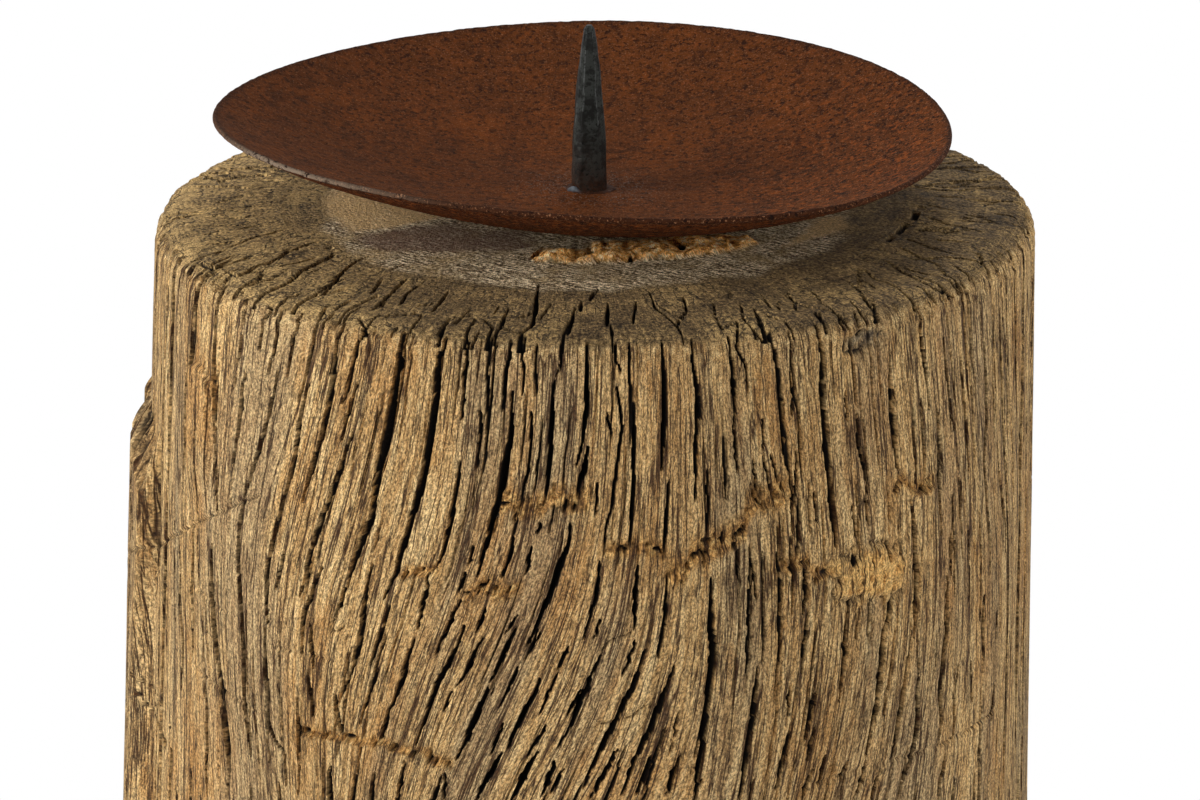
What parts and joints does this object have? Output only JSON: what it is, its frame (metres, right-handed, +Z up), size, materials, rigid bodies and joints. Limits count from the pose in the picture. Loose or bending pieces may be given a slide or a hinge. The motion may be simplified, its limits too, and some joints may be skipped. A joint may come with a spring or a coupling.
{
  "type": "pricket candle stand",
  "caption": "Weathered round timber post with a rusted drip dish on top; a forged spike through the dish holds a pillar candle and the dish lifts off.",
  "frame": {"origin": "on the post's sawn foot face, where the axis of the tang socket meets it", "axes": "+Z up along the spike and its socket, +X to the right and -Y towards the viewer of the picture"},
  "size_m": [0.1986, 0.194, 0.3359],
  "materials": {
    "weathered_timber": "bare, weathered and deeply checked",
    "rusted_sheet": "rusted sheet steel, matt with worn edges",
    "forged_steel": "forged, dark oxide with a dull sheen",
    "weld_metal": "bare weld, slightly rusted"
  },
  "bodies": {
    "post": {"post": "weathered_timber"},
    "dish": {"drip_dish": "rusted_sheet", "pricket_spike": "forged_steel", "weld_bead": "weld_metal"}
  },
  "joints": [
    {"name": "dish_lift", "type": "slide", "parent": "post", "child": "dish", "axis": [0, 0, 1], "range_m": [0, 0.06]}
  ]
}
